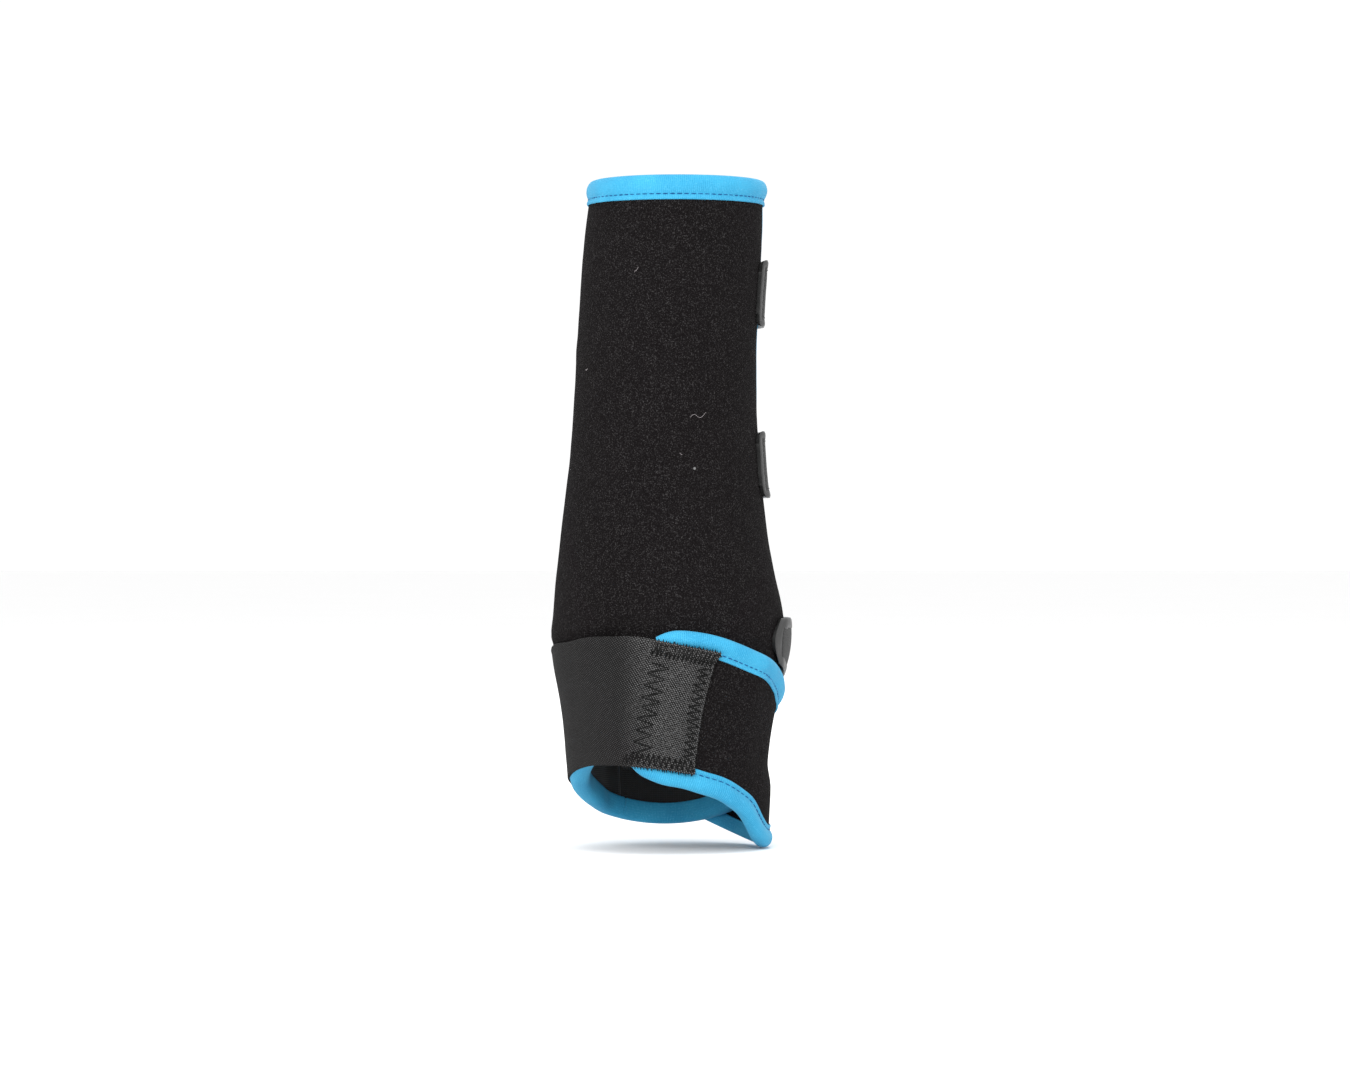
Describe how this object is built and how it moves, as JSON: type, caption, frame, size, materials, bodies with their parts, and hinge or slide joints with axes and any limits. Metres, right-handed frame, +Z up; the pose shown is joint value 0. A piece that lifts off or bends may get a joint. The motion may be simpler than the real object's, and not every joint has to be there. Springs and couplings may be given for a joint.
{
  "type": "horse tendon boot",
  "caption": "Neoprene leg boot for a horse, open-ended wrap with bound edges, closing tabs down one side and a wide woven sling strap round the fetlock.",
  "frame": {"origin": "on the leg's axis at the height of the boot's lowest edge, where the leg enters the boot from below", "axes": "+Z up the leg, +X to the side that closes, +Y to the back of the leg"},
  "size_m": [0.1091, 0.1283, 0.3003],
  "materials": {
    "loop_fabric": "matte brushed loop pile, near black with grey flecks",
    "neoprene": "matte closed-cell foam edge",
    "lining_knit": "smooth fine knit",
    "blue_binding": "soft ribbed stretch binding, cyan blue",
    "woven_strap": "heavy woven elastic with small diagonal grey dots",
    "tab_fabric": "dense smooth fabric with a raised satin margin",
    "hook_tape": "black hook tape"
  },
  "bodies": {
    "rear_shell": {"rear_face": "loop_fabric", "rear_core": "neoprene", "rear_lining": "lining_knit", "rear_top_binding": "blue_binding", "rear_bottom_binding": "blue_binding", "rear_edge_binding": "blue_binding", "sling_base_core": "neoprene", "sling_base_face": "loop_fabric", "sling_base_top_binding": "blue_binding", "sling_base_bottom_binding": "blue_binding"},
    "front_flap": {"flap_face": "loop_fabric", "flap_core": "neoprene", "flap_lining": "lining_knit", "flap_top_binding": "blue_binding", "flap_bottom_binding": "blue_binding", "flap_edge_binding": "blue_binding", "upper_tab_base": "tab_fabric", "middle_tab_base": "tab_fabric", "lower_tab_base": "tab_fabric"},
    "sling_arm": {"sling_arm_core": "neoprene", "sling_arm_face": "loop_fabric", "sling_arm_top_binding": "blue_binding", "sling_arm_bottom_binding": "blue_binding", "strap_sewn_end": "woven_strap"},
    "sling_strap": {"strap_band": "woven_strap", "strap_hook": "hook_tape"},
    "upper_tab": {"upper_tab_strap": "tab_fabric", "upper_tab_hook": "hook_tape"},
    "middle_tab": {"middle_tab_strap": "tab_fabric", "middle_tab_hook": "hook_tape"},
    "lower_tab": {"lower_tab_strap": "tab_fabric", "lower_tab_hook": "hook_tape"}
  },
  "joints": [
    {"name": "sling_open", "type": "hinge", "parent": "rear_shell", "child": "sling_arm", "pos_m": [0.03504, 0.05323, 0.04], "axis": [0, 0, 1], "range_deg": [0, 120]},
    {"name": "strap_open", "type": "hinge", "parent": "sling_arm", "child": "sling_strap", "pos_m": [-0.01133, -0.06186, 0.065], "axis": [0, 0, 1], "range_deg": [0, 120]},
    {"name": "flap_open", "type": "hinge", "parent": "rear_shell", "child": "front_flap", "pos_m": [-0.01627, -0.05247, 0.17], "axis": [0, 0, -1], "range_deg": [0, 40]},
    {"name": "upper_tab_peel", "type": "hinge", "parent": "front_flap", "child": "upper_tab", "pos_m": [0.04238, 0.01317, 0.249], "axis": [0, 0, -1], "range_deg": [0, 110]},
    {"name": "middle_tab_peel", "type": "hinge", "parent": "front_flap", "child": "middle_tab", "pos_m": [0.04356, 0.01609, 0.172], "axis": [0, 0, -1], "range_deg": [0, 110]},
    {"name": "lower_tab_peel", "type": "hinge", "parent": "front_flap", "child": "lower_tab", "pos_m": [0.05257, 0.01882, 0.087], "axis": [0, 0, -1], "range_deg": [0, 110]}
  ],
  "couplings": [
    {"joint": "strap_open", "follows": "sling_open", "ratio": 1},
    {"joint": "flap_open", "follows": "sling_open", "ratio": 0.33333}
  ]
}
